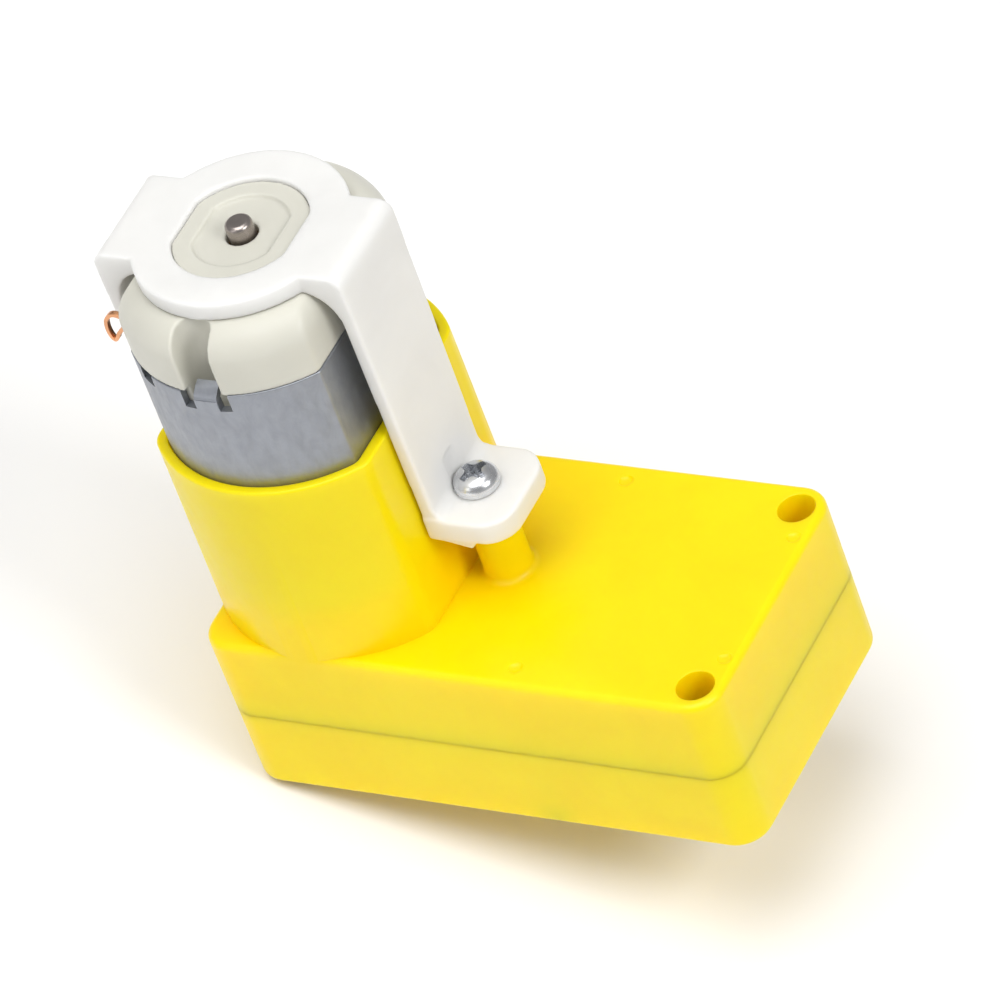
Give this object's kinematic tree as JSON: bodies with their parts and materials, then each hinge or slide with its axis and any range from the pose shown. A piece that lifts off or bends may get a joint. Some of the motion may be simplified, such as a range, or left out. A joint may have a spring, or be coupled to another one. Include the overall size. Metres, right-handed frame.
{
  "type": "geared dc motor",
  "caption": "Small can motor standing on an offset flat plastic gearbox, held by a screwed plastic strap, with a double-flat output shaft underneath.",
  "frame": {"origin": "on the output shaft's axis, at the gearbox's bottom face, where the shaft comes out", "axes": "+Z along the motor from the gearbox to the motor's rear end; the output shaft points to -Z; +X from the motor towards the end with the two mounting holes; +Y across the gearbox"},
  "size_m": [0.0427, 0.0222, 0.0547],
  "materials": {
    "yellow_plastic": "smooth satin moulded plastic",
    "strap_nylon": "translucent natural nylon",
    "cap_plastic": "smooth ivory moulded plastic",
    "can_steel": "zinc-plated drawn steel",
    "shaft_steel": "ground steel",
    "screw_chrome": "bright plated steel",
    "screw_zinc": "zinc-plated steel",
    "sintered_bronze": "oil-filled sintered bronze",
    "brass": "machined brass",
    "copper": "bare copper alloy strip",
    "copper_wire": "enamelled copper wire",
    "ferrite": "matt sintered ferrite",
    "core_steel": "stacked steel laminations",
    "carbon": "pressed carbon",
    "gear_nylon": "smooth moulded acetal",
    "spring_steel": "bare spring steel"
  },
  "bodies": {
    "housing": {"gearbox_base": "yellow_plastic", "gearbox_cover": "yellow_plastic", "case_screws": "screw_zinc", "motor_strap": "strap_nylon", "strap_screw": "screw_chrome", "motor_can": "can_steel", "end_cap": "cap_plastic", "front_bushing": "sintered_bronze", "rear_bushing": "sintered_bronze", "field_magnets": "ferrite", "magnet_spring": "spring_steel", "brush_terminal_left": "copper", "brush_terminal_right": "copper", "carbon_brushes": "carbon", "idler_pin": "shaft_steel", "output_pin": "shaft_steel", "idler_washer": "sintered_bronze"},
    "rotor": {"motor_shaft": "shaft_steel", "armature_core": "core_steel", "armature_windings": "copper_wire", "commutator": "copper", "commutator_hub": "gear_nylon", "rotor_washers": "gear_nylon", "motor_pinion": "brass"},
    "first_idler": {"first_gear": "gear_nylon"},
    "second_idler": {"second_gear": "gear_nylon"},
    "third_idler": {"third_gear": "gear_nylon"},
    "output": {"output_gear": "gear_nylon", "output_shaft": "gear_nylon"}
  },
  "joints": [
    {"name": "output_spin", "type": "hinge", "parent": "housing", "child": "output", "pos_m": [0, 0, 0], "axis": [0, 0, 1], "continuous": true},
    {"name": "third_spin", "type": "hinge", "parent": "housing", "child": "third_idler", "pos_m": [-0.01075, 0, 0], "axis": [0, 0, 1], "continuous": true},
    {"name": "second_spin", "type": "hinge", "parent": "housing", "child": "second_idler", "pos_m": [0, 0, 0], "axis": [0, 0, 1], "continuous": true},
    {"name": "first_spin", "type": "hinge", "parent": "housing", "child": "first_idler", "pos_m": [-0.01075, 0, 0], "axis": [0, 0, 1], "continuous": true},
    {"name": "motor_spin", "type": "hinge", "parent": "housing", "child": "rotor", "pos_m": [-0.0215, 0, 0], "axis": [0, 0, 1], "continuous": true}
  ],
  "couplings": [
    {"joint": "third_spin", "follows": "output_spin", "ratio": -3.3},
    {"joint": "second_spin", "follows": "output_spin", "ratio": 10.89},
    {"joint": "first_spin", "follows": "output_spin", "ratio": -35.937},
    {"joint": "motor_spin", "follows": "output_spin", "ratio": 135.76}
  ]
}
